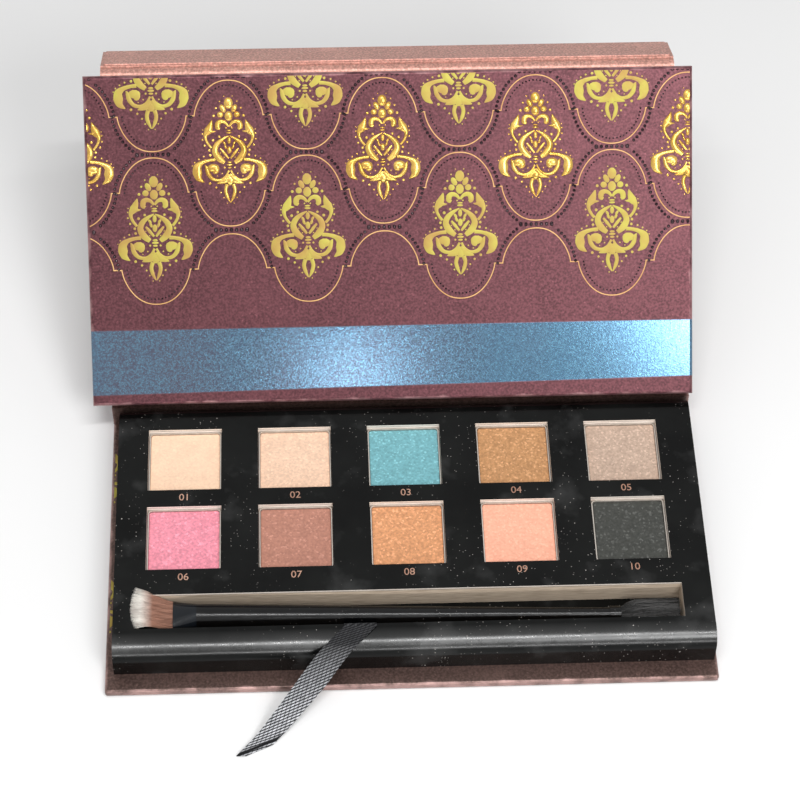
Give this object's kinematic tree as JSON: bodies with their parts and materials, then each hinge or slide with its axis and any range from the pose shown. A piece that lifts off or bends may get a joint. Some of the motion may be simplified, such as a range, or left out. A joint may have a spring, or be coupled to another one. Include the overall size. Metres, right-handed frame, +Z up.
{
  "type": "eyeshadow palette",
  "caption": "Flat board makeup palette with a hinged patterned lid, a closing flap, square powder pans in a black tray, a double-ended brush in a slot and a pull ribbon.",
  "frame": {"origin": "middle of the base board's underside", "axes": "+X to the right, +Y to the back where the lid hinges, +Z up"},
  "size_m": [0.176, 0.1916, 0.0832],
  "materials": {
    "ornate_paper": "printed maroon paper wrapped over board, gold pattern, satin",
    "plain_paper": "maroon paper wrapped over board, satin",
    "mauve_lining": "mauve lining paper, satin",
    "black_card": "black laminated card, gloss",
    "raw_board": "raw pale board, matte",
    "tin": "tinplate, satin",
    "magnet": "plated, satin",
    "brush_black": "black lacquer, gloss",
    "pale_hair": "brush hair, brown at the root and pale at the tip",
    "dark_hair": "black brush hair",
    "ribbon_black": "black satin ribbon",
    "powder_pale_peach": "pressed powder, matte to shimmer",
    "powder_champagne": "pressed powder, matte to shimmer",
    "powder_teal": "pressed powder, matte to shimmer",
    "powder_bronze": "pressed powder, matte to shimmer",
    "powder_taupe": "pressed powder, matte to shimmer",
    "powder_pink": "pressed powder, matte to shimmer",
    "powder_mauve_brown": "pressed powder, matte to shimmer",
    "powder_copper": "pressed powder, matte to shimmer",
    "powder_coral": "pressed powder, matte to shimmer",
    "powder_charcoal": "pressed powder, matte to shimmer"
  },
  "bodies": {
    "base": {"base_board": "plain_paper", "spine_board": "plain_paper", "tray_carrier": "black_card", "tray_insert": "raw_board", "tray_cover": "black_card", "tray_end_left": "black_card", "tray_end_right": "black_card", "tray_magnets": "magnet", "pan_back_1": "tin", "powder_back_1": "powder_pale_peach", "pan_back_2": "tin", "powder_back_2": "powder_champagne", "pan_back_3": "tin", "powder_back_3": "powder_teal", "pan_back_4": "tin", "powder_back_4": "powder_bronze", "pan_back_5": "tin", "powder_back_5": "powder_taupe", "pan_front_1": "tin", "powder_front_1": "powder_pink", "pan_front_2": "tin", "powder_front_2": "powder_mauve_brown", "pan_front_3": "tin", "powder_front_3": "powder_copper", "pan_front_4": "tin", "powder_front_4": "powder_coral", "pan_front_5": "tin", "powder_front_5": "powder_charcoal", "brush_handle": "brush_black", "brush_ferrule_wide": "brush_black", "brush_hair_wide": "pale_hair", "brush_ferrule_slim": "brush_black", "brush_hair_slim": "dark_hair", "ribbon_tab": "ribbon_black", "pull_ribbon": "ribbon_black", "lid_hinge_strip": "mauve_lining"},
    "lid": {"lid_board": "ornate_paper", "lid_panel": "ornate_paper", "lid_keepers": "magnet", "flap_hinge_strip": "mauve_lining"},
    "flap": {"flap_board": "plain_paper", "flap_lining": "mauve_lining"}
  },
  "joints": [
    {"name": "lid_hinge", "type": "hinge", "parent": "base", "child": "lid", "pos_m": [0, 0.0444, 0.0164], "axis": [1, 0, 0], "range_deg": [-44, 135.5], "deforming": ["lid_hinge_strip"]},
    {"name": "flap_hinge", "type": "hinge", "parent": "lid", "child": "flap", "pos_m": [0, 0.11209, 0.08292], "axis": [1, 0, 0], "range_deg": [0, 163], "deforming": ["flap_hinge_strip", "pull_ribbon"]}
  ]
}
